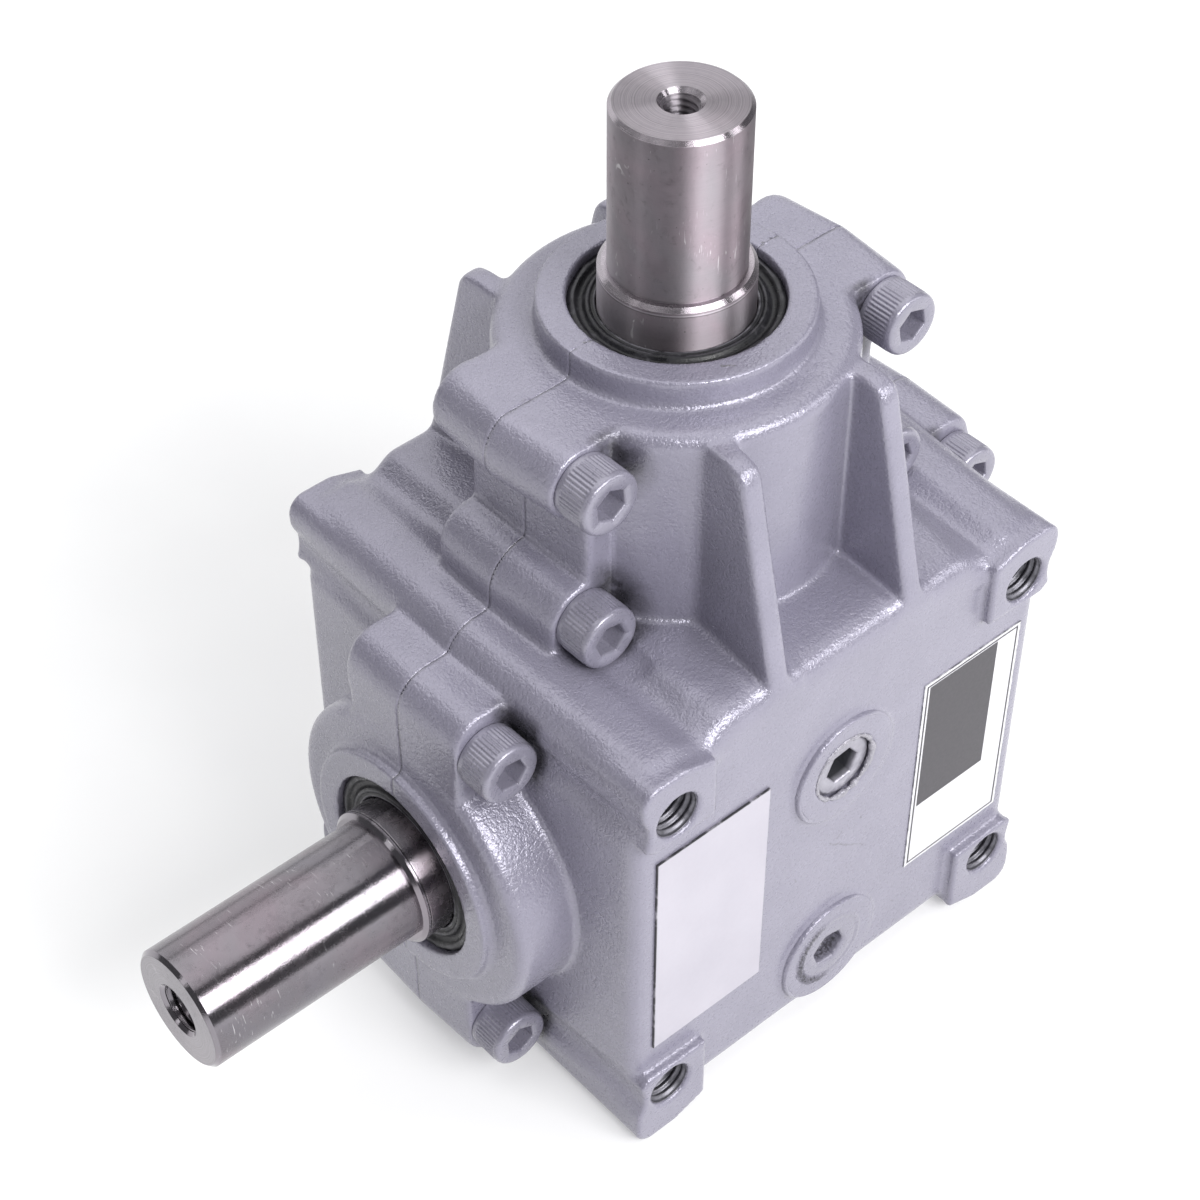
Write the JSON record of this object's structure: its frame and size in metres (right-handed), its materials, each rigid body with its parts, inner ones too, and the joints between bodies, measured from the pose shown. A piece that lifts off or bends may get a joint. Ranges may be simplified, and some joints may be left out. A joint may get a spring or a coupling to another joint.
{
  "type": "right-angle bevel gearbox",
  "caption": "Right-angle bevel gearbox with split cast casing, ribbed bearing turret, tapped mounting bosses and two keyed shafts that turn together one to one.",
  "frame": {"origin": "centre of the four tapped holes in the front mounting face, on the plane of the boss faces; the shaft axes cross 52 mm behind it", "axes": "+Z along the vertical shaft out of the turret, -X along the horizontal shaft out of the casing, -Y out of the front mounting face"},
  "size_m": [0.194, 0.104, 0.1994],
  "materials": {
    "painted_casting": "satin, fine cast grain",
    "painted_screw": "satin",
    "zinc_plug": "bright zinc",
    "plate_metal": "satin",
    "label_film": "gloss",
    "ground_steel": "ground, bright",
    "seal_rubber": "greasy",
    "seal_case": "satin",
    "gear_steel": "machined",
    "plain_steel": "plain",
    "bearing_steel": "ground",
    "cage_steel": "pressed"
  },
  "bodies": {
    "housing": {"front_casing": "painted_casting", "rear_casing": "painted_casting", "casing_screws": "painted_screw", "casing_dowels": "plain_steel", "filler_plug": "zinc_plug", "drain_plug": "painted_screw", "data_plate": "plate_metal", "front_label": "label_film", "vertical_seal_case": "seal_case", "vertical_seal_lip": "seal_rubber", "vertical_seal_spring": "plain_steel", "horizontal_seal_case": "seal_case", "horizontal_seal_lip": "seal_rubber", "horizontal_seal_spring": "plain_steel", "vertical_shim": "plain_steel", "left_shim": "plain_steel", "right_shim": "plain_steel", "end_cap": "seal_case", "upper_bearing_outer_race": "bearing_steel", "lower_bearing_outer_race": "bearing_steel", "left_bearing_outer_race": "bearing_steel", "right_bearing_outer_race": "bearing_steel"},
    "vertical_spindle": {"vertical_shaft": "ground_steel", "vertical_bevel_gear": "gear_steel", "vertical_gear_key": "plain_steel", "vertical_spacer": "plain_steel", "vertical_retaining_ring": "plain_steel", "upper_bearing_inner_race": "bearing_steel", "lower_bearing_inner_race": "bearing_steel"},
    "horizontal_spindle": {"horizontal_shaft": "ground_steel", "horizontal_bevel_gear": "gear_steel", "horizontal_gear_key": "plain_steel", "horizontal_spacer": "plain_steel", "horizontal_retaining_ring": "plain_steel", "left_bearing_inner_race": "bearing_steel", "right_bearing_inner_race": "bearing_steel"},
    "upper_ball_set": {"upper_bearing_cage": "cage_steel", "upper_bearing_balls": "bearing_steel"},
    "lower_ball_set": {"lower_bearing_cage": "cage_steel", "lower_bearing_balls": "bearing_steel"},
    "left_ball_set": {"left_bearing_cage": "cage_steel", "left_bearing_balls": "bearing_steel"},
    "right_ball_set": {"right_bearing_cage": "cage_steel", "right_bearing_balls": "bearing_steel"}
  },
  "joints": [
    {"name": "vertical_spin", "type": "hinge", "parent": "housing", "child": "vertical_spindle", "pos_m": [0, 0.052, 0.1], "axis": [0, 0, 1], "continuous": true},
    {"name": "horizontal_spin", "type": "hinge", "parent": "housing", "child": "horizontal_spindle", "pos_m": [-0.1, 0.052, 0], "axis": [1, 0, 0], "continuous": true},
    {"name": "upper_balls_spin", "type": "hinge", "parent": "housing", "child": "upper_ball_set", "pos_m": [0, 0.052, 0.088], "axis": [0, 0, 1], "continuous": true},
    {"name": "lower_balls_spin", "type": "hinge", "parent": "housing", "child": "lower_ball_set", "pos_m": [0, 0.052, 0.054], "axis": [0, 0, 1], "continuous": true},
    {"name": "left_balls_spin", "type": "hinge", "parent": "housing", "child": "left_ball_set", "pos_m": [-0.0543, 0.052, 0], "axis": [1, 0, 0], "continuous": true},
    {"name": "right_balls_spin", "type": "hinge", "parent": "housing", "child": "right_ball_set", "pos_m": [0.0543, 0.052, 0], "axis": [1, 0, 0], "continuous": true}
  ],
  "couplings": [
    {"joint": "vertical_spin", "follows": "horizontal_spin", "ratio": 1},
    {"joint": "upper_balls_spin", "follows": "horizontal_spin", "ratio": 0.3969},
    {"joint": "lower_balls_spin", "follows": "horizontal_spin", "ratio": 0.3969},
    {"joint": "left_balls_spin", "follows": "horizontal_spin", "ratio": 0.3969},
    {"joint": "right_balls_spin", "follows": "horizontal_spin", "ratio": 0.3969}
  ]
}
